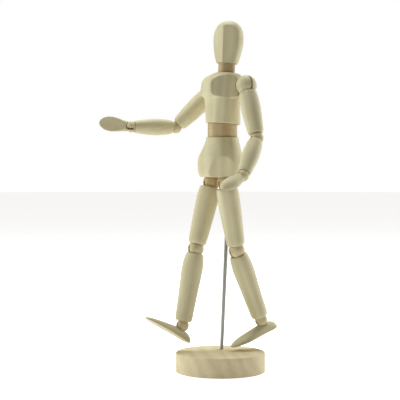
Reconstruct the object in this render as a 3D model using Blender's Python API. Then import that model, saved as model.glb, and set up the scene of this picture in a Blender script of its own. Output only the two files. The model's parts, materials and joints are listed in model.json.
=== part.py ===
"""Jointed wooden artist mannequin on a round stand, about 12 inches tall.

Frame: metres, +Z up, origin at the middle of the base's underside. The figure faces -Y and its
left side is +X. Every joint is a wooden ball held between two dished ends, so that all pieces turn
about the ball's centre. Sizes below are in millimetres and angles in degrees.
"""
import math

import bmesh
import bpy
from mathutils import Matrix, Vector

MM = 0.001
GAP = 0.3

# stand
BASE_RADIUS = 39.0
BASE_HEIGHT = 17.0
BASE_BEVEL = 1.2
ROD_RADIUS = 1.6
ROD_FOOT = (-12.3, 8.5)
ROD_FOOT_Z = 5.0
ROD_IN_PELVIS = 13.0

# trunk: heights of the joint centres, and where the pelvis stands over the base
PELVIS_X = -9.0
PELVIS_Y = 6.4
HIP_Z = 164.5
PELVIS_BOTTOM_Z = 169.3
WAIST_Z = 210.0
WAIST_BEHIND = 1.5
NECK_ABOVE_WAIST = 54.7
SHOULDER_ABOVE_WAIST = 39.0
SHOULDER_BEHIND = 5.5
HIP_AHEAD = 2.5
SHOULDER_HALF_SPAN = 24.5
HIP_HALF_SPAN = 11.8
CHEST_LEAN = 4.5
HEAD_TURN = 29.0

# joint balls: radius, and how far each neighbour's rim stands from the ball's centre
SHOULDER_BALL, SHOULDER_RIM = 9.0, 7.1
ELBOW_BALL, ELBOW_RIM = 5.6, 3.8
WRIST_BALL, WRIST_RIM = 5.0, 2.9
HIP_BALL, HIP_RIM = 7.5, 4.8
KNEE_BALL, KNEE_RIM = 7.0, 4.3
ANKLE_BALL, ANKLE_RIM = 5.6, 3.8
WAIST_BALL, WAIST_SIDE, WAIST_RIM = 14.1, 13.0, 5.8
NECK_BALL, NECK_SIDE, NECK_RIM = 8.4, 7.4, 4.1

# limbs: length between joint centres
UPPER_ARM, FOREARM = 50.0, 42.0
THIGH, SHIN = 60.5, 68.0
LIMB_BORE = 2.3

# limb outlines: (share of the length between the rims, radius)
UPPER_ARM_SHAPE = ((0, 7.2), (0.05, 8.0), (0.25, 8.5), (0.5, 8.3), (0.8, 7.4), (0.95, 6.6), (1, 5.6))
FOREARM_SHAPE = ((0, 5.5), (0.07, 6.4), (0.3, 7.3), (0.5, 7.4), (0.75, 6.6), (0.94, 5.7), (1, 5.0))
THIGH_SHAPE = ((0, 8.2), (0.04, 9.3), (0.2, 9.7), (0.5, 9.2), (0.8, 8.4), (0.95, 7.8), (1, 6.5))
SHIN_SHAPE = ((0, 7.2), (0.05, 8.2), (0.2, 9.2), (0.35, 9.0), (0.6, 8.3), (0.85, 7.8), (0.96, 7.5), (1, 6.6))

# pose: degrees forward of hanging straight down, and degrees out to the side
POSE = {
    "l": {"upper_arm": (3.5, 24), "forearm": (37, 20), "hand": (65, 13), "thigh": (-10.7, 0), "shin": (-22.6, 0)},
    "r": {"upper_arm": (39.3, 26), "forearm": (90, 12), "hand": (99.5, 30), "thigh": (15.7, 0), "shin": (11.5, 0)},
}
PALM = {"l": (-0.35, 0, -0.94), "r": (1, 0, 0)}
FOOT_TOE_UP = {"l": -18.5, "r": 30.0}

# hardware
PIN_RADIUS = 0.6
PIN_RECESS = 0.8
PIN_FAR_WALL = 2.0
WIRE_RADIUS = 0.35
COIL_RADIUS = 1.5
COIL_TURNS = 5
COIL_PITCH = 1.4
SLOT_WIDTH = 2.0
SLOT_ABOVE = 1.5
TRUNK_SLOT_REACH = {"waist_block": 7.5, "neck_block": 5.5}
WIRE_BORE = 1.2

LATHE_STEPS = 16
BALL_STEPS = 14

WOOD = (0.80, 0.66, 0.46, 1)
STEEL = (0.45, 0.45, 0.44, 1)
WOOD_TINTS = {"base_disc": (0.82, 0.66, 0.46, 1), "waist_block": (0.76, 0.60, 0.40, 1)}
STEEL_WORDS = ("pin", "spring", "hook", "rod")


def clear_scene():
    for thing in list(bpy.data.objects):
        bpy.data.objects.remove(thing)


def material_for(name):
    steel = any(word in name.split("_") for word in STEEL_WORDS)
    material = bpy.data.materials.new(name)
    material.use_nodes = True
    shader = material.node_tree.nodes["Principled BSDF"]
    shader.inputs["Base Color"].default_value = STEEL if steel else WOOD_TINTS.get(name, WOOD)
    shader.inputs["Metallic"].default_value = 1.0 if steel else 0.0
    shader.inputs["Roughness"].default_value = 0.35 if steel else 0.55
    return material


def place(name, data, matrix):
    thing = bpy.data.objects.new(name, data)
    bpy.context.scene.collection.objects.link(thing)
    thing.matrix_world = matrix
    data.materials.append(material_for(name))
    return thing


def finish_mesh(name, bm, matrix):
    """Close a bmesh whose sizes are in millimetres and set it in its place."""
    bmesh.ops.remove_doubles(bm, verts=bm.verts, dist=0.001)
    bmesh.ops.recalc_face_normals(bm, faces=bm.faces)
    bmesh.ops.scale(bm, vec=(MM, MM, MM), verts=bm.verts)
    mesh = bpy.data.meshes.new(name)
    bm.to_mesh(mesh)
    bm.free()
    mesh.shade_smooth()
    mesh.set_sharp_from_angle(angle=math.radians(32))
    return place(name, mesh, matrix)


def subtract(thing, cutter):
    """Cut one solid out of another and drop the cutter."""
    modifier = thing.modifiers.new("cut", "BOOLEAN")
    modifier.operation = "DIFFERENCE"
    modifier.solver = "EXACT"
    modifier.object = cutter
    bpy.context.view_layer.objects.active = thing
    bpy.ops.object.modifier_apply(modifier=modifier.name)
    bpy.data.objects.remove(cutter)


def turned(name, outline, matrix, steps=LATHE_STEPS):
    """Spin an outline of (radius, height) points about Z. It closes on the axis or on itself."""
    bm = bmesh.new()
    verts = [bm.verts.new((radius, 0, height)) for radius, height in outline]
    edges = [bm.edges.new(pair) for pair in zip(verts, verts[1:])]
    if outline[0][0] > 0 and outline[-1][0] > 0:
        edges.append(bm.edges.new((verts[-1], verts[0])))
    bmesh.ops.spin(bm, geom=verts + edges, cent=(0, 0, 0), axis=(0, 0, 1), steps=steps,
                   angle=math.tau, use_merge=True)
    return finish_mesh(name, bm, matrix)


def arc(radius, centre_z, start, end, points):
    """(radius, height) points on a circle about the axis; angles are from +Z in degrees."""
    turns = [math.radians(start + (end - start) * i / (points - 1)) for i in range(points)]
    return [(radius * math.sin(a), centre_z + radius * math.cos(a)) for a in turns]


def frame_at(centre, down, across=(1, 0, 0)):
    """A frame at a joint: local -Z runs along down, local X stays close to across."""
    z_axis = -Vector(down).normalized()
    x_axis = Vector(across) - z_axis * Vector(across).dot(z_axis)
    x_axis.normalize()
    y_axis = z_axis.cross(x_axis)
    turn = Matrix((x_axis, y_axis, z_axis)).transposed().to_4x4()
    return Matrix.Translation(Vector(centre) * MM) @ turn


def direction(side, forward, out):
    """A unit vector that hangs down, swung forward and spread to the figure's own side."""
    swing, spread = math.radians(forward), math.radians(out)
    return Vector((side * math.sin(spread), -math.sin(swing) * math.cos(spread),
                   -math.cos(swing) * math.cos(spread)))


def dish_angle(ball, rim):
    return math.degrees(math.acos(rim / (ball + GAP)))


def bored_limb(name, length, top, bottom, shape, matrix):
    """A turned limb from its upper joint at the origin to its lower joint at -length."""
    (top_ball, top_rim), (low_ball, low_rim) = top, bottom
    top_reach, low_reach = top_ball + GAP, low_ball + GAP
    bore_top = 180 - math.degrees(math.asin(LIMB_BORE / top_reach))
    bore_low = math.degrees(math.asin(LIMB_BORE / low_reach))
    outline = arc(top_reach, 0, bore_top, 180 - dish_angle(top_ball, top_rim), 4)
    span = length - top_rim - low_rim
    outline += [(radius, -top_rim - share * span) for share, radius in shape]
    outline += arc(low_reach, -length, dish_angle(low_ball, low_rim), bore_low, 4)
    return turned(name, outline, matrix)


def cylinder_tool(radius, start, end, matrix, steps=12):
    return turned("tool", [(0, start), (radius, start), (radius, end), (0, end)], matrix, steps)


def slot_tool(width, reach, low, high, matrix):
    """A flat box, thin along X, which cuts the slot that a wire swings in."""
    bm = bmesh.new()
    bmesh.ops.create_cube(bm, size=1)
    bmesh.ops.scale(bm, vec=(width, 2 * reach, high - low), verts=bm.verts)
    bmesh.ops.translate(bm, vec=(0, 0, (high + low) / 2), verts=bm.verts)
    return finish_mesh("tool", bm, matrix)


def joint_ball(name, radius, side, matrix, pin_name=None, slot_up=False):
    """A ball, flattened to side at its waist, slotted on one side and bored on the other.

    The pin crosses the slot at the centre, along local X, in a hole that opens on the figure's right.
    """
    flat = math.degrees(math.asin(min(side / radius, 1)))
    if side < radius:
        outline = arc(radius, 0, 0, flat, 5) + arc(radius, 0, 180 - flat, 180, 5)
    else:
        outline = arc(radius, 0, 0, 180, 9)
    outline[0] = (0, radius)
    outline[-1] = (0, -radius)
    ball = turned(name, outline, matrix, BALL_STEPS)
    flip = Matrix.Rotation(math.pi, 4, "X") if slot_up else Matrix.Identity(4)
    reach = TRUNK_SLOT_REACH.get(name, radius + 1)
    subtract(ball, slot_tool(SLOT_WIDTH, reach, -radius - 1, SLOT_ABOVE, matrix @ flip))
    subtract(ball, cylinder_tool(WIRE_BORE, 0, radius + 1, matrix @ flip, 8))
    if pin_name:
        quarter = 90 if (matrix.to_3x3() @ Vector((1, 0, 0))).x < 0 else -90
        sideways = matrix @ Matrix.Rotation(math.radians(quarter), 4, "Y")
        near, far = side - PIN_RECESS, PIN_FAR_WALL - side
        subtract(ball, cylinder_tool(PIN_RADIUS + GAP, far - GAP, radius + 1, sideways, 8))
        turned(pin_name, [(0, near), (PIN_RADIUS, near), (PIN_RADIUS, far), (0, far)], sideways, 8)
    return ball


def wire(name, points, matrix):
    """A steel wire along points, given in millimetres in the frame of matrix."""
    curve = bpy.data.curves.new(name, "CURVE")
    curve.dimensions = "3D"
    spline = curve.splines.new("POLY")
    spline.points.add(len(points) - 1)
    for point, (x, y, z) in zip(spline.points, points):
        point.co = (x * MM, y * MM, z * MM, 1)
    curve.bevel_depth = WIRE_RADIUS * MM
    curve.bevel_resolution = 0
    curve.use_fill_caps = True
    return place(name, curve, matrix)


def spring(name, length, matrix, clear_top=1.0, clear_low=1.0):
    """An extension spring about local Z, with a straight wire to within clear of each joint centre."""
    middle, half = -length / 2, COIL_TURNS * COIL_PITCH / 2
    per_turn = 6
    points = [(0, 0, -clear_top), (0, 0, middle + half + 1.6)]
    for i in range(COIL_TURNS * per_turn + 1):
        turn = math.tau * i / per_turn
        height = middle + half - COIL_PITCH * i / per_turn
        points.append((COIL_RADIUS * math.cos(turn), COIL_RADIUS * math.sin(turn), height))
    points += [(0, 0, middle - half - 1.6), (0, 0, -length + clear_low)]
    return wire(name, points, matrix)


def lofted(name, rings, matrix, steps=20, cuts=()):
    """A closed body through rings of (height, half width, half depth, middle y, squareness).

    Each cut is a (point, normal) plane; what lies on the normal's side is sliced off flat.
    """
    bm = bmesh.new()
    loops = []
    for height, half_x, half_y, middle_y, square in rings:
        loop = []
        for i in range(steps):
            turn = math.tau * i / steps
            power = 2 / square
            x = math.copysign(abs(math.cos(turn)) ** power, math.cos(turn)) * half_x
            y = math.copysign(abs(math.sin(turn)) ** power, math.sin(turn)) * half_y
            loop.append(bm.verts.new((x, y + middle_y, height)))
        loops.append(loop)
    for low, high in zip(loops, loops[1:]):
        for i in range(steps):
            j = (i + 1) % steps
            bm.faces.new((low[i], low[j], high[j], high[i]))
    bm.faces.new(loops[0])
    bm.faces.new(loops[-1])
    bmesh.ops.recalc_face_normals(bm, faces=bm.faces)
    for point, normal in cuts:
        everything = list(bm.verts) + list(bm.edges) + list(bm.faces)
        bmesh.ops.bisect_plane(bm, geom=everything, plane_co=point, plane_no=normal, clear_outer=True,
                               dist=0.01)
        open_edges = [edge for edge in bm.edges if edge.is_boundary]
        bmesh.ops.holes_fill(bm, edges=open_edges, sides=0)
    return finish_mesh(name, bm, matrix)


def facet(side, azimuth, lift, point):
    """A plane that slices a body off at azimuth degrees from the front towards one side."""
    turn, rise = math.radians(azimuth), math.radians(lift)
    normal = (side * math.sin(turn) * math.cos(rise), -math.cos(turn) * math.cos(rise), math.sin(rise))
    return (side * point[0], point[1], point[2]), normal


def sphere_tool(radius, matrix, steps=20, points=11):
    """A faceted sphere whose flats, not its corners, stand at the radius, so that no flat rubs on a ball."""
    outer = radius / (math.cos(math.pi / steps) * math.cos(math.pi / 2 / (points - 1)))
    outline = arc(outer, 0, 0, 180, points)
    outline[0] = (0, outer)
    outline[-1] = (0, -outer)
    return turned("tool", outline, matrix, steps)


def shifted(matrix, x, y, z):
    return matrix @ Matrix.Translation(Vector((x, y, z)) * MM)


def build_stand():
    """The turned base with its off-centre hole, and the steel rod that carries the figure."""
    top = BASE_HEIGHT
    outline = [(0, 0), (BASE_RADIUS - 0.8, 0), (BASE_RADIUS, 0.8), (BASE_RADIUS, top - BASE_BEVEL),
               (BASE_RADIUS - 0.4, top - 0.4), (BASE_RADIUS - BASE_BEVEL, top), (0, top)]
    disc = turned("base_disc", outline, Matrix.Identity(4), 40)
    foot = Vector((ROD_FOOT[0], ROD_FOOT[1], ROD_FOOT_Z))
    head = rod_entry() + rod_line() * ROD_IN_PELVIS
    frame = frame_at(foot, foot - head)
    length = (head - foot).length
    subtract(disc, cylinder_tool(ROD_RADIUS + GAP, -GAP, BASE_HEIGHT + 5, frame))
    turned("support_rod", [(0, 0), (ROD_RADIUS, 0), (ROD_RADIUS, length), (0, length)], frame, 12)


def rod_entry():
    """Where the rod enters the pelvis, in its middle plane and behind its centre."""
    return Vector((PELVIS_X, PELVIS_Y + 8.6, PELVIS_BOTTOM_Z))


def rod_line():
    foot = Vector((ROD_FOOT[0], ROD_FOOT[1], BASE_HEIGHT))
    return (rod_entry() - foot).normalized()


def build_pelvis():
    """A body that widens from the waist to the hips, sliced flat at both groins."""
    bottom = PELVIS_BOTTOM_Z
    rim = WAIST_Z - WAIST_RIM
    rings = ((bottom, 20.0, 16.0, -1, 2.1), (bottom + 1.2, 21.6, 17.5, -1, 2.1), (bottom + 5, 22.5, 18.5, -1, 2.1),
             (bottom + 11, 22.8, 18.7, -0.9, 2.1), (bottom + 17, 22.0, 17.9, -0.5, 2.1),
             (bottom + 21.5, 20.6, 16.7, 0, 2.0), (bottom + 27, 17.8, 15.2, 0.9, 2.0),
             (rim - 3.5, 15.7, 14.4, 1.3, 2.0), (rim, 14.8, 14.0, WAIST_BEHIND, 2.0))
    cuts = [facet(side, 54, -12, (8.9, -16.9, bottom + 1)) for side in (1, -1)]
    frame = Matrix.Translation(Vector((PELVIS_X, PELVIS_Y, 0)) * MM)
    pelvis = lofted("pelvis", rings, frame, 24, cuts)
    waist = shifted(frame, 0, WAIST_BEHIND, WAIST_Z)
    subtract(pelvis, sphere_tool(WAIST_BALL + GAP, waist, 32, 19))
    subtract(pelvis, cylinder_tool(WIRE_BORE, -26, 0, waist, 8))
    wire("pelvis_hook", [(0, 0, -25), (0, 0, -1)], waist)
    for tag, side in (("l", 1), ("r", -1)):
        hip = shifted(frame, side * HIP_HALF_SPAN, -HIP_AHEAD, HIP_Z)
        subtract(pelvis, sphere_tool(HIP_BALL + GAP, hip, 16))
        subtract(pelvis, cylinder_tool(WIRE_BORE, 0, 16, hip, 8))
        wire("hip_hook_" + tag, [(0, 0, 15), (0, 0, 1)], hip)
    entry = rod_entry()
    rod_frame = frame_at(entry, -rod_line())
    subtract(pelvis, cylinder_tool(ROD_RADIUS + GAP, -5, ROD_IN_PELVIS + GAP, rod_frame))


def waist_centre():
    return Matrix.Translation(Vector((PELVIS_X, PELVIS_Y + WAIST_BEHIND, WAIST_Z)) * MM)


def trunk_frame():
    """The chest's own frame at the waist joint; it leans back a little."""
    return waist_centre() @ Matrix.Rotation(math.radians(-CHEST_LEAN), 4, "X")


def build_waist():
    joint_ball("waist_block", WAIST_BALL, WAIST_SIDE, waist_centre(), "waist_pin", slot_up=True)


def build_chest():
    """The chest: widest at the breast line, stepped in below it, with a flat slice on each breast."""
    frame = trunk_frame()
    top = NECK_ABOVE_WAIST - NECK_RIM
    rings = ((WAIST_RIM, 15.4, 14.2, 0, 2.0), (WAIST_RIM + 1.2, 16.1, 14.8, 0, 2.0), (17, 17.3, 14.6, -1.1, 2.0),
             (24, 17.9, 14.4, -2.1, 2.0), (27.8, 18.4, 14.6, -2.6, 2.1), (29.6, 21.0, 16.8, -4.0, 2.2),
             (38, 20.9, 17.3, -4.0, 2.2), (42, 20.1, 16.7, -3.5, 2.2), (45.5, 18.4, 15.0, -2.4, 2.1),
             (48, 16.6, 12.6, -0.6, 2.1), (49.6, 14.0, 10.8, 0.4, 2.0), (top, 9.4, 8.9, 0, 2.0))
    cuts = [facet(side, 58, 7, (15.8, -9.8, 28.4)) for side in (1, -1)]
    chest = lofted("chest", rings, frame, 24, cuts)
    subtract(chest, sphere_tool(WAIST_BALL + GAP, frame, 32, 19))
    subtract(chest, sphere_tool(NECK_BALL + GAP, shifted(frame, 0, 0, NECK_ABOVE_WAIST), 16))
    subtract(chest, cylinder_tool(LIMB_BORE, 0, NECK_ABOVE_WAIST, frame))
    for side in (1, -1):
        socket = shifted(frame, side * SHOULDER_HALF_SPAN, SHOULDER_BEHIND, SHOULDER_ABOVE_WAIST)
        subtract(chest, sphere_tool(SHOULDER_BALL + GAP, socket, 16))
    across = shifted(frame, SHOULDER_HALF_SPAN, SHOULDER_BEHIND, SHOULDER_ABOVE_WAIST)
    across = across @ Matrix.Rotation(math.radians(90), 4, "Y")
    span = 2 * SHOULDER_HALF_SPAN
    subtract(chest, cylinder_tool(LIMB_BORE, -span, 0, across))
    spring("shoulder_spring", span, across)
    spring("spine_spring", NECK_ABOVE_WAIST, shifted(frame, 0, 0, NECK_ABOVE_WAIST))


def build_neck_and_head():
    """The neck block and the egg-shaped head, whose face is two flat slices that meet in a ridge."""
    neck = shifted(trunk_frame(), 0, 0, NECK_ABOVE_WAIST)
    turn = neck @ Matrix.Rotation(math.radians(HEAD_TURN), 4, "Z")
    joint_ball("neck_block", NECK_BALL, NECK_SIDE, turn, "neck_pin", slot_up=True)
    rings = ((NECK_RIM, 9.3), (7, 10.3), (11, 11.4), (15.5, 12.3), (20, 13.0), (24.5, 13.3), (29, 13.0),
             (33, 12.1), (36.5, 10.5), (39.2, 8.0), (41, 4.8), (41.8, 1.8))
    rings = [(height, radius, radius, 0, 2.0) for height, radius in rings]
    cuts = [facet(side, 22, -4, (0, -9.8, 16)) for side in (1, -1)]
    head = lofted("head", rings, turn, 20, cuts)
    subtract(head, sphere_tool(NECK_BALL + GAP, turn, 16))
    subtract(head, cylinder_tool(WIRE_BORE, 0, 24, turn, 8))
    wire("head_hook", [(0, 0, 1), (0, 0, 23)], turn)


def build_arm(tag, side):
    """Shoulder ball, upper arm, elbow ball, forearm, wrist ball and hand, from the chest outwards."""
    pose = {piece: direction(side, *angles) for piece, angles in POSE[tag].items()}
    trunk = trunk_frame()
    centre = Vector((side * SHOULDER_HALF_SPAN, SHOULDER_BEHIND, SHOULDER_ABOVE_WAIST))
    shoulder = (trunk @ (centre * MM)) / MM
    outward = Vector((side, 0, 0))
    across = pose["upper_arm"].cross(outward)
    ball_frame = frame_at(shoulder, outward, across)
    joint_ball("shoulder_ball_" + tag, SHOULDER_BALL, SHOULDER_BALL, ball_frame, "shoulder_pin_" + tag)
    upper_frame = frame_at(shoulder, pose["upper_arm"])
    bored_limb("upper_arm_" + tag, UPPER_ARM, (SHOULDER_BALL, SHOULDER_RIM), (ELBOW_BALL, ELBOW_RIM),
               UPPER_ARM_SHAPE, upper_frame)
    spring("upper_arm_spring_" + tag, UPPER_ARM, upper_frame)
    elbow = shoulder + pose["upper_arm"] * UPPER_ARM
    bend = pose["upper_arm"].cross(pose["forearm"])
    elbow_frame = frame_at(elbow, pose["upper_arm"], bend)
    joint_ball("elbow_ball_" + tag, ELBOW_BALL, ELBOW_BALL, elbow_frame, "elbow_pin_" + tag)
    forearm_frame = frame_at(elbow, pose["forearm"], bend)
    bored_limb("forearm_" + tag, FOREARM, (ELBOW_BALL, ELBOW_RIM), (WRIST_BALL, WRIST_RIM),
               FOREARM_SHAPE, forearm_frame)
    spring("forearm_spring_" + tag, FOREARM, forearm_frame)
    wrist = elbow + pose["forearm"] * FOREARM
    build_hand(tag, wrist, pose)


def build_hand(tag, wrist, pose):
    """The wrist ball and the hand: a turned teardrop sliced flat on its palm side."""
    palm = Vector(PALM[tag])
    bend = pose["forearm"].cross(pose["hand"])
    joint_ball("wrist_ball_" + tag, WRIST_BALL, WRIST_BALL, frame_at(wrist, pose["forearm"], bend))
    rings = ((-28.6, 1.2), (-27.6, 2.8), (-25, 4.9), (-21.5, 6.2), (-17, 6.6), (-12.5, 6.1), (-8, 5.2),
             (-5, 4.7), (-WRIST_RIM, 4.5))
    rings = [(height, radius, radius * 0.8, 0, 2.0) for height, radius in rings]
    frame = frame_at(wrist, pose["hand"], pose["hand"].cross(palm))
    toward_palm = frame.to_3x3().inverted() @ palm
    facing = math.copysign(1, toward_palm.y)
    cut = ((0, facing * 1.2, -17), (0, facing, -0.16))
    hand = lofted("hand_" + tag, rings, frame, 16, (cut,))
    subtract(hand, sphere_tool(WRIST_BALL + GAP, frame, 14))
    subtract(hand, cylinder_tool(WIRE_BORE * 0.7, -15, 0, frame, 8))
    wire("hand_hook_" + tag, [(0, 0, -0.6), (0, 0, -14)], frame)


def build_leg(tag, side):
    """Hip ball, thigh, knee ball, shin, ankle ball and foot, from the pelvis down."""
    pose = {piece: direction(side, *angles) for piece, angles in POSE[tag].items()}
    hip = Vector((PELVIS_X + side * HIP_HALF_SPAN, PELVIS_Y - HIP_AHEAD, HIP_Z))
    joint_ball("hip_ball_" + tag, HIP_BALL, HIP_BALL, frame_at(hip, (0, 0, -1)), "hip_pin_" + tag)
    thigh_frame = frame_at(hip, pose["thigh"])
    bored_limb("thigh_" + tag, THIGH, (HIP_BALL, HIP_RIM), (KNEE_BALL, KNEE_RIM), THIGH_SHAPE, thigh_frame)
    spring("thigh_spring_" + tag, THIGH, thigh_frame)
    knee = hip + pose["thigh"] * THIGH
    joint_ball("knee_ball_" + tag, KNEE_BALL, KNEE_BALL, frame_at(knee, pose["thigh"]), "knee_pin_" + tag)
    shin_frame = frame_at(knee, pose["shin"])
    bored_limb("shin_" + tag, SHIN, (KNEE_BALL, KNEE_RIM), (ANKLE_BALL, ANKLE_RIM), SHIN_SHAPE, shin_frame)
    spring("shin_spring_" + tag, SHIN, shin_frame)
    ankle = knee + pose["shin"] * SHIN
    joint_ball("ankle_ball_" + tag, ANKLE_BALL, ANKLE_BALL, frame_at(ankle, pose["shin"]))
    build_foot(tag, ankle)


def build_foot(tag, ankle):
    """A foot with a flat sole, highest under the ankle and thinning to a rounded toe."""
    toe_up = Matrix.Rotation(math.radians(-FOOT_TOE_UP[tag]), 4, "X")
    frame = Matrix.Translation(ankle * MM) @ toe_up
    sole = -11.0
    # (distance ahead of the ankle, half width, height above the sole)
    stations = ((-12.4, 2.6, 2.4), (-11.6, 4.6, 4.6), (-8, 6.3, 6.6), (-3, 6.6, 7.6), (3, 6.7, 7.6), (9, 7.3, 6.9),
                (17, 8.2, 5.7), (25, 8.0, 4.4), (31, 6.0, 3.2), (34.8, 3.8, 2.1), (36.4, 1.8, 1.4))
    rings = [(-ahead, half, height, 0, 2.2) for ahead, half, height in stations]
    lying = shifted(frame, 0, 0, sole) @ Matrix.Rotation(math.radians(-90), 4, "X")
    flat_sole = ((0, 0, 0), (0, 1, 0))
    foot = lofted("foot_" + tag, rings, lying, 16, (flat_sole,))
    subtract(foot, sphere_tool(ANKLE_BALL + GAP, frame, 14))
    subtract(foot, cylinder_tool(WIRE_BORE * 0.7, -9, 0, frame, 8))
    wire("foot_hook_" + tag, [(0, 0, -0.6), (0, 0, -8.5)], frame)


clear_scene()
build_stand()
build_pelvis()
build_waist()
build_chest()
build_neck_and_head()
for tag_and_side in (("l", 1), ("r", -1)):
    build_arm(*tag_and_side)
    build_leg(*tag_and_side)
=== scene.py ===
"""Looks of the wooden artist mannequin: fine turned and carved surfaces, sanded edges and wood grain.

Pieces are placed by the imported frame's joint centres, joint axes and boxes. Sizes are in millimetres
until a mesh is finished, and angles in degrees.
"""
import json
import math

import bmesh
import bpy
import numpy as np
from mathutils import Matrix, Vector


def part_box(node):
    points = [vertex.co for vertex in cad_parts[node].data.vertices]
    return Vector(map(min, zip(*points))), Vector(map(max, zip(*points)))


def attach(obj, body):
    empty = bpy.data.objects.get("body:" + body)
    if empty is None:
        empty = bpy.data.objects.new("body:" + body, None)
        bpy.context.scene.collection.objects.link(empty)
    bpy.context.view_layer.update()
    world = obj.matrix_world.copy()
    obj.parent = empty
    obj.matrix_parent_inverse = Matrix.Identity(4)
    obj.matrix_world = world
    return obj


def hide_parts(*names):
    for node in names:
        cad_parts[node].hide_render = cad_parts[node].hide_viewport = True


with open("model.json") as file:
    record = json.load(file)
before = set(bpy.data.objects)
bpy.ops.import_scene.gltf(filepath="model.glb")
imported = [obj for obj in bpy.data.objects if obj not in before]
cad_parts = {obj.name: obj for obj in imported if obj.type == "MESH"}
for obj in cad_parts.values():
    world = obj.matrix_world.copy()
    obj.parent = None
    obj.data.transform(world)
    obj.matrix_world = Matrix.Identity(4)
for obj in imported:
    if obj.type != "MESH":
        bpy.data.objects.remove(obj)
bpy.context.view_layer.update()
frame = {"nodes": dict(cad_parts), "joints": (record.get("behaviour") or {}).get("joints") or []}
JOINTS = {joint["name"]: joint for joint in frame["joints"]}

MM = 0.001
GAP = 0.3
GRAIN = "grain"
FINE_STEPS = 64
BALL_STEPS = 48

# joint balls: radius, and how far each neighbour's rim stands from the ball's centre
SHOULDER_BALL, SHOULDER_RIM = 9.0, 7.1
ELBOW_BALL, ELBOW_RIM = 5.6, 3.8
WRIST_BALL, WRIST_RIM = 5.0, 2.9
HIP_BALL, HIP_RIM = 7.5, 4.8
KNEE_BALL, KNEE_RIM = 7.0, 4.3
ANKLE_BALL, ANKLE_RIM = 5.6, 3.8
WAIST_BALL, WAIST_SIDE, WAIST_RIM = 14.1, 13.0, 5.8
WAIST_BEHIND = 1.5
NECK_BALL, NECK_SIDE, NECK_RIM = 8.4, 7.4, 4.1

LIMB_BORE = 2.3
WIRE_BORE = 1.2
HOOK_BORE = WIRE_BORE * 0.7
SLOT_WIDTH = 2.0
SLOT_ABOVE = 1.5
TRUNK_SLOT_REACH = {"waist_block": 7.5, "neck_block": 5.5}
PIN_FAR_WALL = 2.0
PIN_HOLE = 0.9
ROD_HOLE = 1.9
ROD_IN_PELVIS = 13.0
ROD_HOLE_FLOOR = 5.0
PAST_FACE = 7.0

# base edges, foot sole below the ankle ball's centre, and the grain of the sanding remesh
BASE_FOOT_EDGE, BASE_TOP_EDGE = 0.8, 1.2
SOLE = -11.0
TRUNK_VOXEL, HEAD_VOXEL, SMALL_VOXEL = 0.42, 0.4, 0.25
WOOD_ROUGHNESS = 0.52

# the way each palm faces
PALM = {"l": (-0.35, 0, -0.94), "r": (1, 0, 0)}

# limb outlines: (share of the length between the rims, radius)
UPPER_ARM_SHAPE = ((0, 7.2), (0.05, 8.0), (0.25, 8.5), (0.5, 8.3), (0.8, 7.4), (0.95, 6.6), (1, 5.6))
FOREARM_SHAPE = ((0, 5.5), (0.07, 6.4), (0.3, 7.3), (0.5, 7.4), (0.75, 6.6), (0.94, 5.7), (1, 5.0))
THIGH_SHAPE = ((0, 8.2), (0.04, 9.3), (0.2, 9.7), (0.5, 9.2), (0.8, 8.4), (0.95, 7.8), (1, 6.5))
SHIN_SHAPE = ((0, 7.2), (0.05, 8.2), (0.2, 9.2), (0.35, 9.0), (0.6, 8.3), (0.85, 7.8), (0.96, 7.5), (1, 6.6))


# ---------------------------------------------------------------- places read from the frame

def centre_of(joint):
    return Vector(JOINTS[joint]["pos_m"]) / MM


def axis_of(joint):
    return Vector(JOINTS[joint]["axis"])


def box_of(node):
    low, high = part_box(node)
    return Vector(low) / MM, Vector(high) / MM


def frame_at(centre, down, across=(1, 0, 0)):
    """A frame at a joint: local -Z runs along down, local X stays close to across."""
    z_axis = -Vector(down).normalized()
    x_axis = Vector(across) - z_axis * Vector(across).dot(z_axis)
    x_axis.normalize()
    turn = Matrix((x_axis, z_axis.cross(x_axis), z_axis)).transposed().to_4x4()
    return Matrix.Translation(Vector(centre) * MM) @ turn


def shifted(matrix, x, y, z):
    return matrix @ Matrix.Translation(Vector((x, y, z)) * MM)


# ---------------------------------------------------------------- camera, floor and light

LENS = 112.5
CAMERA_HEIGHT = 185.1
CAMERA_DISTANCE = 1086.0
VIEW_TURN = 58.0
AIM_SIDE = -17.8
AIM_DROP = 35.6
FILL_TINT = (1.0, 0.94, 0.82)
COOL = (0.93, 1.0, 0.96)
FILL_LEVEL = 0.16
FLOOR_TONE = 0.8
FLOOR_GLOW = 0.80
FLOOR_BOUNCE = 0.32
LIGHT_AIM_HEIGHT = 0.16

# soft boxes: name, place from the aim in metres (right, towards the camera, up), size in metres, watts
SOFT_BOXES = (
    ("left_box", (-1.0, -0.1, 0.3), (0.7, 1.1), 8.0),
    ("right_box", (0.8, -0.5, 0.2), (0.6, 1.0), 6.5),
    ("top_box", (0, -0.35, 1.1), (0.9, 0.9), 14.0),
)


def build_camera():
    """Level with the pelvis and far off, to the figure's left front, tipped slightly down."""
    turn = math.radians(VIEW_TURN)
    right = Vector((math.cos(turn), math.sin(turn), 0))
    toward = Vector((math.sin(turn), -math.cos(turn), 0))
    data = bpy.data.cameras.new("camera")
    data.lens = LENS
    data.clip_start = 0.05
    data.clip_end = 20
    camera = bpy.data.objects.new("camera", data)
    bpy.context.scene.collection.objects.link(camera)
    eye = right * AIM_SIDE + toward * CAMERA_DISTANCE + Vector((0, 0, CAMERA_HEIGHT))
    aim = right * AIM_SIDE + Vector((0, 0, CAMERA_HEIGHT - AIM_DROP))
    camera.location = eye * MM
    camera.rotation_euler = (aim - eye).to_track_quat("-Z", "Y").to_euler()
    bpy.context.scene.camera = camera
    return right, toward


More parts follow.
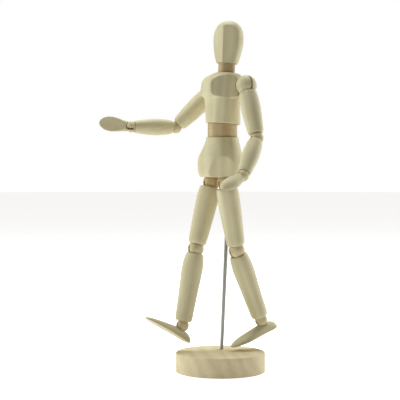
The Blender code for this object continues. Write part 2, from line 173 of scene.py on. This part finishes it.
def area_light(name, place, aim, size, power):
    data = bpy.data.lights.new(name, "AREA")
    data.shape = "RECTANGLE"
    data.size, data.size_y = size
    data.energy = power
    data.color = COOL
    lamp = bpy.data.objects.new(name, data)
    lamp.location = place
    lamp.rotation_euler = (Vector(aim) - Vector(place)).to_track_quat("-Z", "Y").to_euler()
    bpy.context.scene.collection.objects.link(lamp)


def build_world():
    """A white backdrop that lights the figure only dimly, so that the soft boxes shape it."""
    world = bpy.data.worlds.new("studio")
    world.use_nodes = True
    nodes, links = world.node_tree.nodes, world.node_tree.links
    fill = nodes["Background"]
    fill.inputs["Color"].default_value = (*FILL_TINT, 1)
    fill.inputs["Strength"].default_value = FILL_LEVEL
    backdrop = nodes.new("ShaderNodeBackground")
    backdrop.inputs["Color"].default_value = (1, 1, 1, 1)
    backdrop.inputs["Strength"].default_value = 1.0
    seen = nodes.new("ShaderNodeLightPath")
    choose = nodes.new("ShaderNodeMixShader")
    links.new(seen.outputs["Is Camera Ray"], choose.inputs[0])
    links.new(fill.outputs["Background"], choose.inputs[1])
    links.new(backdrop.outputs["Background"], choose.inputs[2])
    links.new(choose.outputs["Shader"], nodes["World Output"].inputs["Surface"])
    bpy.context.scene.world = world


def build_studio(right, toward):
    """A white floor and three soft boxes, above and beside the figure and all set behind it."""
    build_world()
    bpy.context.scene.view_settings.view_transform = "Standard"
    bm = bmesh.new()
    bmesh.ops.create_circle(bm, cap_ends=True, segments=96, radius=6.0)
    mesh = bpy.data.meshes.new("floor")
    bm.to_mesh(mesh)
    bm.free()
    floor = bpy.data.objects.new("floor", mesh)
    floor.location.z = -0.0002
    material = bpy.data.materials.new("floor_white")
    material.use_nodes = True
    shader = material.node_tree.nodes["Principled BSDF"]
    shader.inputs["Base Color"].default_value = (*[FLOOR_TONE] * 3, 1)
    shader.inputs["Roughness"].default_value = 0.9
    shader.inputs["Emission Color"].default_value = (1, 1, 1, 1)
    nodes, links = material.node_tree.nodes, material.node_tree.links
    seen = nodes.new("ShaderNodeLightPath")
    glow = nodes.new("ShaderNodeMapRange")
    glow.inputs["To Min"].default_value = FLOOR_BOUNCE
    glow.inputs["To Max"].default_value = FLOOR_GLOW
    links.new(seen.outputs["Is Camera Ray"], glow.inputs["Value"])
    links.new(glow.outputs["Result"], shader.inputs["Emission Strength"])
    mesh.materials.append(material)
    bpy.context.scene.collection.objects.link(floor)
    aim = Vector((0, 0, LIGHT_AIM_HEIGHT))
    for name, (sideways, nearer, higher), size, power in SOFT_BOXES:
        place = aim + right * sideways + toward * nearer + Vector((0, 0, higher))
        area_light(name, place, aim, size, power)


# ---------------------------------------------------------------- wood and steel

def wood_material(name, pale, dark, seed, rings=1.0):
    """Sanded wood: grain streaks along local Z, growth rings and cloudy tone, with bump from the streaks."""
    material = bpy.data.materials.new(name)
    material.use_nodes = True
    nodes, links = material.node_tree.nodes, material.node_tree.links
    shader = nodes["Principled BSDF"]
    coordinates = nodes.new("ShaderNodeAttribute")
    coordinates.attribute_name = GRAIN
    place = nodes.new("ShaderNodeMapping")
    place.inputs["Location"].default_value = (seed * 0.37, seed * 0.61, seed * 0.23)
    links.new(coordinates.outputs["Vector"], place.inputs["Vector"])
    stretch = nodes.new("ShaderNodeMapping")
    stretch.inputs["Scale"].default_value = (1, 1, 0.06)
    links.new(place.outputs["Vector"], stretch.inputs["Vector"])
    grain = nodes.new("ShaderNodeTexNoise")
    grain.inputs["Scale"].default_value = 420
    grain.inputs["Detail"].default_value = 6
    grain.inputs["Roughness"].default_value = 0.6
    links.new(stretch.outputs["Vector"], grain.inputs["Vector"])
    growth = nodes.new("ShaderNodeTexWave")
    growth.wave_type = "RINGS"
    growth.rings_direction = "Z"
    growth.inputs["Scale"].default_value = 38 * rings
    growth.inputs["Distortion"].default_value = 5
    growth.inputs["Detail"].default_value = 3
    growth.inputs["Detail Scale"].default_value = 1.4
    links.new(stretch.outputs["Vector"], growth.inputs["Vector"])
    cloud = nodes.new("ShaderNodeTexNoise")
    cloud.inputs["Scale"].default_value = 55
    cloud.inputs["Detail"].default_value = 2
    links.new(place.outputs["Vector"], cloud.inputs["Vector"])
    blend = nodes.new("ShaderNodeMix")
    blend.data_type = "FLOAT"
    blend.inputs["Factor"].default_value = 0.32
    links.new(grain.outputs["Fac"], blend.inputs["A"])
    links.new(growth.outputs["Fac"], blend.inputs["B"])
    blend_cloud = nodes.new("ShaderNodeMix")
    blend_cloud.data_type = "FLOAT"
    blend_cloud.inputs["Factor"].default_value = 0.4
    links.new(blend.outputs["Result"], blend_cloud.inputs["A"])
    links.new(cloud.outputs["Fac"], blend_cloud.inputs["B"])
    ramp = nodes.new("ShaderNodeValToRGB")
    ramp.color_ramp.elements[0].position = 0.25
    ramp.color_ramp.elements[0].color = (*dark, 1)
    ramp.color_ramp.elements[1].position = 0.72
    ramp.color_ramp.elements[1].color = (*pale, 1)
    links.new(blend_cloud.outputs["Result"], ramp.inputs["Fac"])
    links.new(ramp.outputs["Color"], shader.inputs["Base Color"])
    polish = nodes.new("ShaderNodeMapRange")
    polish.inputs["To Min"].default_value = WOOD_ROUGHNESS + 0.1
    polish.inputs["To Max"].default_value = WOOD_ROUGHNESS - 0.06
    links.new(grain.outputs["Fac"], polish.inputs["Value"])
    links.new(polish.outputs["Result"], shader.inputs["Roughness"])
    bump = nodes.new("ShaderNodeBump")
    bump.inputs["Strength"].default_value = 0.12
    bump.inputs["Distance"].default_value = 0.0004
    links.new(grain.outputs["Fac"], bump.inputs["Height"])
    links.new(bump.outputs["Normal"], shader.inputs["Normal"])
    shader.inputs["Specular IOR Level"].default_value = 0.35
    return material


def steel_material(name, bright, rough):
    """Drawn steel wire: fine lengthwise streaks in its tone and gloss."""
    material = bpy.data.materials.new(name)
    material.use_nodes = True
    nodes, links = material.node_tree.nodes, material.node_tree.links
    shader = nodes["Principled BSDF"]
    shader.inputs["Metallic"].default_value = 1.0
    coordinates = nodes.new("ShaderNodeTexCoord")
    stretch = nodes.new("ShaderNodeMapping")
    stretch.inputs["Scale"].default_value = (1, 1, 0.03)
    links.new(coordinates.outputs["Object"], stretch.inputs["Vector"])
    streaks = nodes.new("ShaderNodeTexNoise")
    streaks.inputs["Scale"].default_value = 1800
    streaks.inputs["Detail"].default_value = 4
    links.new(stretch.outputs["Vector"], streaks.inputs["Vector"])
    ramp = nodes.new("ShaderNodeValToRGB")
    ramp.color_ramp.elements[0].color = (bright * 0.7, bright * 0.7, bright * 0.68, 1)
    ramp.color_ramp.elements[1].color = (bright, bright, bright * 0.97, 1)
    links.new(streaks.outputs["Fac"], ramp.inputs["Fac"])
    links.new(ramp.outputs["Color"], shader.inputs["Base Color"])
    gloss = nodes.new("ShaderNodeMapRange")
    gloss.inputs["To Min"].default_value = rough - 0.05
    gloss.inputs["To Max"].default_value = rough + 0.12
    links.new(streaks.outputs["Fac"], gloss.inputs["Value"])
    links.new(gloss.outputs["Result"], shader.inputs["Roughness"])
    return material


PALE_WOOD = ((0.70, 0.635, 0.43), (0.58, 0.49, 0.29))
# JOINT_WOOD_PAINTED_SHADE is for the hip balls and the waist and neck blocks. Its darker brown tone is
# painted shade of the recesses between and under the larger pieces where these blocks sit. The grain in it is
# real.
JOINT_WOOD_PAINTED_SHADE = ((0.60, 0.46, 0.27), (0.44, 0.31, 0.15))
SMALL_JOINT_WOOD = ((0.70, 0.60, 0.38), (0.58, 0.46, 0.26))
BASE_WOOD = ((0.78, 0.67, 0.45), (0.63, 0.51, 0.31))


# ---------------------------------------------------------------- mesh tools

def smoothed(points, per_span=6):
    """Points along a smooth curve through the given ones, for outlines and for loft rings."""
    given = np.array(points, float)
    padded = np.vstack([2 * given[0] - given[1], given, 2 * given[-1] - given[-2]])
    out = []
    for i in range(1, len(padded) - 2):
        a, b, c, d = padded[i - 1:i + 3]
        for step in range(per_span):
            t = step / per_span
            out.append(0.5 * (2 * b + (c - a) * t + (2 * a - 5 * b + 4 * c - d) * t * t
                              + (3 * b - a - 3 * c + d) * t ** 3))
    out.append(given[-1])
    return [tuple(row) for row in out]


def finish_mesh(name, bm, matrix):
    bmesh.ops.remove_doubles(bm, verts=bm.verts, dist=0.0005)
    bmesh.ops.recalc_face_normals(bm, faces=bm.faces)
    bmesh.ops.scale(bm, vec=(MM, MM, MM), verts=bm.verts)
    mesh = bpy.data.meshes.new(name)
    bm.to_mesh(mesh)
    bm.free()
    mesh.shade_smooth()
    thing = bpy.data.objects.new(name, mesh)
    bpy.context.scene.collection.objects.link(thing)
    thing.matrix_world = matrix
    return thing


def apply(thing, modifier):
    bpy.context.view_layer.objects.active = thing
    bpy.ops.object.modifier_apply(modifier=modifier.name)


def subtract(thing, cutter):
    modifier = thing.modifiers.new("cut", "BOOLEAN")
    modifier.operation = "DIFFERENCE"
    modifier.solver = "EXACT"
    modifier.object = cutter
    apply(thing, modifier)
    bpy.data.objects.remove(cutter)


def turned(name, outline, matrix, steps=FINE_STEPS):
    """Spin an outline of (radius, height) points about Z. It closes on the axis or on itself."""
    bm = bmesh.new()
    verts = [bm.verts.new((radius, 0, height)) for radius, height in outline]
    edges = [bm.edges.new(pair) for pair in zip(verts, verts[1:])]
    if outline[0][0] > 0 and outline[-1][0] > 0:
        edges.append(bm.edges.new((verts[-1], verts[0])))
    bmesh.ops.spin(bm, geom=verts + edges, cent=(0, 0, 0), axis=(0, 0, 1), steps=steps,
                   angle=math.tau, use_merge=True)
    return finish_mesh(name, bm, matrix)


def arc(radius, centre_z, start, end, points):
    turns = [math.radians(start + (end - start) * i / (points - 1)) for i in range(points)]
    return [(radius * math.sin(a), centre_z + radius * math.cos(a)) for a in turns]


def ball_outline(radius, side, points=25):
    """Half a circle, cut off upright at side where that is less than the radius."""
    flat = math.degrees(math.asin(min(side / radius, 1)))
    outline = arc(radius, 0, 0, flat, points)
    if side < radius:
        outline += arc(radius, 0, 180 - flat, 180, points)
    else:
        outline += arc(radius, 0, 90, 180, points)[1:]
    outline[0] = (0, radius)
    outline[-1] = (0, -radius)
    return outline


def cylinder_tool(radius, start, end, matrix, steps=24):
    return turned("tool", [(0, start), (radius, start), (radius, end), (0, end)], matrix, steps)


def sphere_tool(radius, matrix):
    return turned("tool", ball_outline(radius, radius), matrix)


def slot_tool(width, reach, low, high, matrix):
    bm = bmesh.new()
    bmesh.ops.create_cube(bm, size=1)
    bmesh.ops.scale(bm, vec=(width, 2 * reach, high - low), verts=bm.verts)
    bmesh.ops.translate(bm, vec=(0, 0, (high + low) / 2), verts=bm.verts)
    return finish_mesh("tool", bm, matrix)


def lofted(name, rings, matrix, steps=FINE_STEPS, cuts=()):
    """A closed body through rings of (height, half width, half depth, middle y, squareness), then sliced."""
    bm = bmesh.new()
    loops = []
    for height, half_x, half_y, middle_y, square in rings:
        loop = []
        for i in range(steps):
            turn = math.tau * i / steps
            power = 2 / square
            x = math.copysign(abs(math.cos(turn)) ** power, math.cos(turn)) * max(half_x, 0.1)
            y = math.copysign(abs(math.sin(turn)) ** power, math.sin(turn)) * max(half_y, 0.1)
            loop.append(bm.verts.new((x, y + middle_y, height)))
        loops.append(loop)
    for low, high in zip(loops, loops[1:]):
        for i in range(steps):
            j = (i + 1) % steps
            bm.faces.new((low[i], low[j], high[j], high[i]))
    bm.faces.new(loops[0])
    bm.faces.new(loops[-1])
    bmesh.ops.recalc_face_normals(bm, faces=bm.faces)
    for point, normal in cuts:
        everything = list(bm.verts) + list(bm.edges) + list(bm.faces)
        bmesh.ops.bisect_plane(bm, geom=everything, plane_co=point, plane_no=normal, clear_outer=True,
                               dist=0.001)
        open_edges = [edge for edge in bm.edges if edge.is_boundary]
        bmesh.ops.holes_fill(bm, edges=open_edges, sides=0)
    return finish_mesh(name, bm, matrix)


def facet(side, azimuth, lift, point):
    """A plane that slices a body off at azimuth degrees from the front towards one side."""
    turn, rise = math.radians(azimuth), math.radians(lift)
    normal = (side * math.sin(turn) * math.cos(rise), -math.cos(turn) * math.cos(rise), math.sin(rise))
    return (side * point[0], point[1], point[2]), normal


def sand(thing, voxel, rounds):
    """Remesh evenly and relax, which rounds every edge as sandpaper does."""
    remesh = thing.modifiers.new("sand", "REMESH")
    remesh.mode = "VOXEL"
    remesh.voxel_size = voxel * MM
    remesh.use_smooth_shade = True
    apply(thing, remesh)
    relax = thing.modifiers.new("relax", "SMOOTH")
    relax.factor = 0.5
    relax.iterations = rounds
    apply(thing, relax)


def keep_grain(thing, turn=Matrix.Identity(4)):
    """Store each vertex's place in the piece's own frame for the wood grain, then bake that frame in."""
    mesh = thing.data
    places = [turn @ vertex.co for vertex in mesh.vertices]
    grain = mesh.attributes.new(GRAIN, "FLOAT_VECTOR", "POINT")
    grain.data.foreach_set("vector", [value for place in places for value in place])
    mesh.transform(thing.matrix_world)
    thing.matrix_world = Matrix.Identity(4)


def dress(thing, body, material, slot, *nodes, turn=Matrix.Identity(4)):
    """Give a piece its finish, set it on its body and let it stand for its CAD nodes."""
    keep_grain(thing, turn)
    thing.data.materials.clear()
    thing.data.materials.append(material)
    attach(thing, body)
    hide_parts(*nodes)


# ---------------------------------------------------------------- pieces

def dish_angle(ball, rim):
    return math.degrees(math.acos(rim / (ball + GAP)))


def limb(name, body, top_joint, low_joint, top, bottom, shape, material):
    """A turned limb between two joints, dished at both ends and bored through for its spring."""
    (top_ball, top_rim), (low_ball, low_rim) = top, bottom
    start, end = centre_of(top_joint), centre_of(low_joint)
    length = (end - start).length
    top_reach, low_reach = top_ball + GAP, low_ball + GAP
    bore_top = 180 - math.degrees(math.asin(LIMB_BORE / top_reach))
    bore_low = math.degrees(math.asin(LIMB_BORE / low_reach))
    span = length - top_rim - low_rim
    side = smoothed([(radius, -top_rim - share * span) for share, radius in shape])
    outline = arc(top_reach, 0, bore_top, 180 - dish_angle(top_ball, top_rim), 14)
    outline += side
    outline += arc(low_reach, -length, dish_angle(low_ball, low_rim), bore_low, 14)
    piece = turned("wood_" + name, outline, frame_at(start, end - start))
    soften = piece.modifiers.new("soft_rims", "BEVEL")
    soften.width = 0.35 * MM
    soften.segments = 3
    soften.limit_method = "ANGLE"
    soften.angle_limit = math.radians(35)
    apply(piece, soften)
    dress(piece, body, material, "body_wood", name)


def joint_ball(name, body, radius, side, matrix, material, pinned=True, slot_up=False):
    """A ball, flattened to side, slotted on one side for the wire, bored on the other, and cross-drilled."""
    ball = turned("wood_" + name, ball_outline(radius, side), matrix, BALL_STEPS)
    flip = Matrix.Rotation(math.pi, 4, "X") if slot_up else Matrix.Identity(4)
    reach = TRUNK_SLOT_REACH.get(name, radius + 1)
    subtract(ball, slot_tool(SLOT_WIDTH, reach, -radius - 1, SLOT_ABOVE, matrix @ flip))
    subtract(ball, cylinder_tool(WIRE_BORE, 0, radius + 1, matrix @ flip))
    if pinned:
        quarter = 90 if (matrix.to_3x3() @ Vector((1, 0, 0))).x < 0 else -90
        sideways = matrix @ Matrix.Rotation(math.radians(quarter), 4, "Y")
        subtract(ball, cylinder_tool(PIN_HOLE, PIN_FAR_WALL - side - GAP, radius + 1, sideways))
    ball.data.set_sharp_from_angle(angle=math.radians(40))
    dress(ball, body, material, "joint_wood", name)


def build_base():
    """The turned base: soft edges and its leaning, off-centre rod hole."""
    low, high = box_of("base_disc")
    radius, height = (high.x - low.x) / 2, high.z
    foot, edge = BASE_FOOT_EDGE, BASE_TOP_EDGE
    outline = [(0, 0), (radius - foot, 0)]
    outline += [(radius - foot + foot * math.sin(a), foot - foot * math.cos(a))
                for a in np.linspace(0, math.pi / 2, 8)]
    outline += [(radius - edge + edge * math.cos(a), height - edge + edge * math.sin(a))
                for a in np.linspace(0, math.pi / 2, 10)]
    outline += [(radius * share, height) for share in (0.9, 0.75, 0.6, 0.45, 0.3, 0.15)]
    outline += [(0, height)]
    disc = turned("wood_base_disc", outline, Matrix.Identity(4), 128)
    disc.data.set_sharp_from_angle(angle=math.radians(50))
    entry = centre_of("figure_turn")
    lean = axis_of("figure_turn").to_track_quat("Z", "Y").to_matrix().to_4x4()
    along_rod = Matrix.Translation(entry * MM) @ lean
    subtract(disc, cylinder_tool(ROD_HOLE, ROD_HOLE_FLOOR - entry.z, height + PAST_FACE - entry.z, along_rod))
    plank = Matrix.Rotation(math.radians(90), 4, "Y") @ Matrix.Rotation(math.radians(25), 4, "Z")
    grain = wood_material("base_grain", *BASE_WOOD, seed=9, rings=0.8)
    dress(disc, "stand", grain, "base_wood", "base_disc", turn=plank)


def build_rod():
    rod = frame["nodes"]["support_rod"]
    rod.data.materials.clear()
    rod.data.materials.append(steel_material("drawn_rod", 0.45, 0.34))


def build_hardware():
    """Pins, springs and hooks keep their CAD shapes and get drawn-wire steel."""
    wire = steel_material("drawn_wire", 0.55, 0.28)
    for name, node in frame["nodes"].items():
        if any(word in name.split("_") for word in ("pin", "spring", "hook")):
            node.data.materials.clear()
            node.data.materials.append(wire)


def build_pelvis():
    waist = centre_of("waist_bend")
    here = Matrix.Translation(Vector((waist.x, waist.y - WAIST_BEHIND, 0)) * MM)
    bottom, rim = box_of("pelvis")[0].z, waist.z - WAIST_RIM
    rings = ((bottom, 20.0, 16.0, -1, 2.1), (bottom + 1.2, 21.6, 17.5, -1, 2.1),
             (bottom + 5, 22.5, 18.5, -1, 2.1), (bottom + 11, 22.8, 18.7, -0.9, 2.1),
             (bottom + 17, 22.0, 17.9, -0.5, 2.1),
             (bottom + 21.5, 20.6, 16.7, 0, 2.0), (bottom + 27, 17.8, 15.2, 0.9, 2.0),
             (rim - 3.5, 15.7, 14.4, 1.3, 2.0), (rim, 14.8, 14.0, WAIST_BEHIND, 2.0))
    cuts = [facet(side, 54, -12, (8.9, -16.9, bottom + 1)) for side in (1, -1)]
    pelvis = lofted("wood_pelvis", smoothed(rings), here, 96, cuts)
    bowl = shifted(here, 0, WAIST_BEHIND, waist.z)
    subtract(pelvis, sphere_tool(WAIST_BALL + GAP, bowl))
    subtract(pelvis, cylinder_tool(WIRE_BORE, -26, 0, bowl))
    for tag in "lr":
        hip = Matrix.Translation(centre_of("hip_turn_" + tag) * MM)
        subtract(pelvis, sphere_tool(HIP_BALL + GAP, hip))
        subtract(pelvis, cylinder_tool(WIRE_BORE, 0, 16, hip))
    entry, line = centre_of("figure_turn"), axis_of("figure_turn")
    subtract(pelvis, cylinder_tool(ROD_HOLE, -5, ROD_IN_PELVIS + GAP, frame_at(entry, -line)))
    sand(pelvis, TRUNK_VOXEL, 4)
    dress(pelvis, "pelvis", wood_material("pelvis_grain", *PALE_WOOD, seed=3), "body_wood", "pelvis")


def trunk_frame():
    neck, waist = centre_of("neck_twist"), centre_of("waist_bend")
    return frame_at(waist, waist - neck)


def build_chest():
    trunk = trunk_frame()
    rise = (centre_of("neck_twist") - centre_of("waist_bend")).length
    top = rise - NECK_RIM
    rings = ((WAIST_RIM, 15.4, 14.2, 0, 2.0), (WAIST_RIM + 1.2, 16.1, 14.8, 0, 2.0),
             (17, 17.3, 14.6, -1.1, 2.0), (24, 17.9, 14.4, -2.1, 2.0),
             (27.8, 18.4, 14.6, -2.6, 2.1), (29.6, 21.0, 16.8, -4.0, 2.2),
             (38, 20.9, 17.3, -4.0, 2.2), (42, 20.1, 16.7, -3.5, 2.2), (45.5, 18.4, 15.0, -2.4, 2.1),
             (48, 16.6, 12.6, -0.6, 2.1), (49.6, 14.0, 10.8, 0.4, 2.0), (top, 9.4, 8.9, 0, 2.0))
    cuts = [facet(side, 58, 7, (15.8, -9.8, 28.4)) for side in (1, -1)]
    chest = lofted("wood_chest", smoothed(rings), trunk, 96, cuts)
    subtract(chest, sphere_tool(WAIST_BALL + GAP, trunk))
    subtract(chest, sphere_tool(NECK_BALL + GAP, shifted(trunk, 0, 0, rise)))
    subtract(chest, cylinder_tool(LIMB_BORE, 0, rise, trunk))
    for tag in "lr":
        socket = Matrix.Translation(centre_of("shoulder_swing_" + tag) * MM)
        subtract(chest, sphere_tool(SHOULDER_BALL + GAP, socket))
    across = frame_at(centre_of("shoulder_swing_l"), (-1, 0, 0), (0, 1, 0))
    span = (centre_of("shoulder_swing_l") - centre_of("shoulder_swing_r")).length
    subtract(chest, cylinder_tool(LIMB_BORE, -span, 0, across))
    sand(chest, TRUNK_VOXEL, 4)
    dress(chest, "chest", wood_material("chest_grain", *PALE_WOOD, seed=5), "body_wood", "chest")


def build_head():
    neck = centre_of("neck_twist")
    turn = frame_at(neck, -axis_of("neck_twist"), axis_of("head_nod"))
    rings = ((NECK_RIM, 9.3), (7, 10.3), (11, 11.4), (15.5, 12.3), (20, 13.0), (24.5, 13.3), (29, 13.0),
             (33, 12.1), (36.5, 10.5), (39.2, 8.0), (41, 4.8), (41.8, 1.8))
    rings = [(height, radius, radius, 0, 2.0) for height, radius in rings]
    cuts = [facet(side, 22, -4, (0, -9.8, 16)) for side in (1, -1)]
    head = lofted("wood_head", smoothed(rings), turn, 96, cuts)
    subtract(head, sphere_tool(NECK_BALL + GAP, turn))
    subtract(head, cylinder_tool(WIRE_BORE, 0, 24, turn))
    sand(head, HEAD_VOXEL, 4)
    dress(head, "head", wood_material("head_grain", *PALE_WOOD, seed=7), "body_wood", "head")


def build_hand(tag, material):
    wrist = centre_of("wrist_bend_" + tag)
    aim = hand_line(tag)
    palm = Vector(PALM[tag])
    rings = ((-28.6, 1.2), (-27.6, 2.8), (-25, 4.9), (-21.5, 6.2), (-17, 6.6), (-12.5, 6.1), (-8, 5.2),
             (-5, 4.7), (-WRIST_RIM, 4.5))
    rings = [(height, radius, radius * 0.8, 0, 2.0) for height, radius in rings]
    here = frame_at(wrist, aim, aim.cross(palm))
    toward_palm = here.to_3x3().inverted() @ palm
    facing = math.copysign(1, toward_palm.y)
    cut = ((0, facing * 1.2, -17), (0, facing, -0.16))
    hand = lofted("wood_hand_" + tag, smoothed(rings), here, 64, (cut,))
    subtract(hand, sphere_tool(WRIST_BALL + GAP, here))
    subtract(hand, cylinder_tool(HOOK_BORE, -15, 0, here))
    sand(hand, SMALL_VOXEL, 2)
    dress(hand, "hand_" + tag, material, "body_wood", "hand_" + tag)


def hand_line(tag):
    """The way the hand points: its hook lies along it, seen from the wrist."""
    low, high = box_of("hand_hook_" + tag)
    return ((low + high) / 2 - centre_of("wrist_bend_" + tag)).normalized()


def foot_line(tag):
    """The way from the ankle straight down into the foot, along its hook."""
    low, high = box_of("foot_hook_" + tag)
    return ((low + high) / 2 - centre_of("ankle_bend_" + tag)).normalized()


def build_foot(tag, material):
    here = frame_at(centre_of("ankle_bend_" + tag), foot_line(tag))
    stations = ((-12.4, 2.6, 2.4), (-11.6, 4.6, 4.6), (-8, 6.3, 6.6), (-3, 6.6, 7.6),
                (3, 6.7, 7.6), (9, 7.3, 6.9), (17, 8.2, 5.7), (25, 8.0, 4.4),
                (31, 6.0, 3.2), (34.8, 3.8, 2.1), (36.4, 1.8, 1.4))
    rings = [(-ahead, half, height, 0, 2.2) for ahead, half, height in stations]
    lying = shifted(here, 0, 0, SOLE) @ Matrix.Rotation(math.radians(-90), 4, "X")
    flat_sole = ((0, 0, 0), (0, 1, 0))
    foot = lofted("wood_foot_" + tag, smoothed(rings), lying, 64, (flat_sole,))
    subtract(foot, sphere_tool(ANKLE_BALL + GAP, here))
    subtract(foot, cylinder_tool(HOOK_BORE, -9, 0, here))
    sand(foot, SMALL_VOXEL, 2)
    dress(foot, "foot_" + tag, material, "body_wood", "foot_" + tag)


def build_trunk_blocks():
    # painted shade: the waist and neck blocks take the darker wood that stands in for the shade between
    # chest, pelvis and head
    block = wood_material("block_grain_painted_shade", *JOINT_WOOD_PAINTED_SHADE, seed=2)
    waist = Matrix.Translation(centre_of("waist_bend") * MM)
    joint_ball("waist_block", "waist", WAIST_BALL, WAIST_SIDE, waist, block, slot_up=True)
    neck = frame_at(centre_of("neck_twist"), -axis_of("neck_twist"), axis_of("head_nod"))
    joint_ball("neck_block", "neck", NECK_BALL, NECK_SIDE, neck, block, slot_up=True)


def build_arm(tag, side):
    pale = wood_material("arm_grain_" + tag, *PALE_WOOD, seed=11 + side)
    tan = wood_material("arm_ball_grain_" + tag, *SMALL_JOINT_WOOD, seed=15 + side)
    joints = ("shoulder_swing_", "elbow_bend_", "wrist_bend_")
    shoulder, elbow, wrist = (centre_of(joint + tag) for joint in joints)
    joint_ball("shoulder_ball_" + tag, "shoulder_" + tag, SHOULDER_BALL, SHOULDER_BALL,
               frame_at(shoulder, (side, 0, 0), axis_of("shoulder_spread_" + tag)), pale)
    limb("upper_arm_" + tag, "upper_arm_" + tag, "shoulder_swing_" + tag, "elbow_bend_" + tag,
         (SHOULDER_BALL, SHOULDER_RIM), (ELBOW_BALL, ELBOW_RIM), UPPER_ARM_SHAPE, pale)
    joint_ball("elbow_ball_" + tag, "elbow_" + tag, ELBOW_BALL, ELBOW_BALL,
               frame_at(elbow, elbow - shoulder, axis_of("elbow_bend_" + tag)), tan)
    limb("forearm_" + tag, "forearm_" + tag, "elbow_bend_" + tag, "wrist_bend_" + tag,
         (ELBOW_BALL, ELBOW_RIM), (WRIST_BALL, WRIST_RIM), FOREARM_SHAPE, pale)
    joint_ball("wrist_ball_" + tag, "wrist_" + tag, WRIST_BALL, WRIST_BALL,
               frame_at(wrist, wrist - elbow, axis_of("wrist_bend_" + tag)), tan, pinned=False)
    build_hand(tag, pale)


def build_leg(tag, side):
    pale = wood_material("leg_grain_" + tag, *PALE_WOOD, seed=21 + side)
    tan = wood_material("leg_ball_grain_" + tag, *SMALL_JOINT_WOOD, seed=25 + side)
    # painted shade: the hip ball takes the darker wood that stands in for the shade under the pelvis
    hip_painted_shade = wood_material("hip_ball_grain_painted_shade_" + tag, *JOINT_WOOD_PAINTED_SHADE, seed=29 + side)
    joints = ("hip_swing_", "knee_bend_", "ankle_bend_")
    hip, knee, ankle = (centre_of(joint + tag) for joint in joints)
    joint_ball("hip_ball_" + tag, "hip_" + tag, HIP_BALL, HIP_BALL, frame_at(hip, (0, 0, -1)), hip_painted_shade)
    limb("thigh_" + tag, "thigh_" + tag, "hip_swing_" + tag, "knee_bend_" + tag,
         (HIP_BALL, HIP_RIM), (KNEE_BALL, KNEE_RIM), THIGH_SHAPE, pale)
    joint_ball("knee_ball_" + tag, "knee_" + tag, KNEE_BALL, KNEE_BALL, frame_at(knee, knee - hip), tan)
    limb("shin_" + tag, "shin_" + tag, "knee_bend_" + tag, "ankle_bend_" + tag,
         (KNEE_BALL, KNEE_RIM), (ANKLE_BALL, ANKLE_RIM), SHIN_SHAPE, pale)
    joint_ball("ankle_ball_" + tag, "ankle_" + tag, ANKLE_BALL, ANKLE_BALL,
               frame_at(ankle, ankle - knee), tan, pinned=False)
    build_foot(tag, pale)


build_studio(*build_camera())
build_base()
build_rod()
build_hardware()
build_pelvis()
build_trunk_blocks()
build_chest()
build_head()
for letter, sign in (("l", 1), ("r", -1)):
    build_arm(letter, sign)
    build_leg(letter, sign)
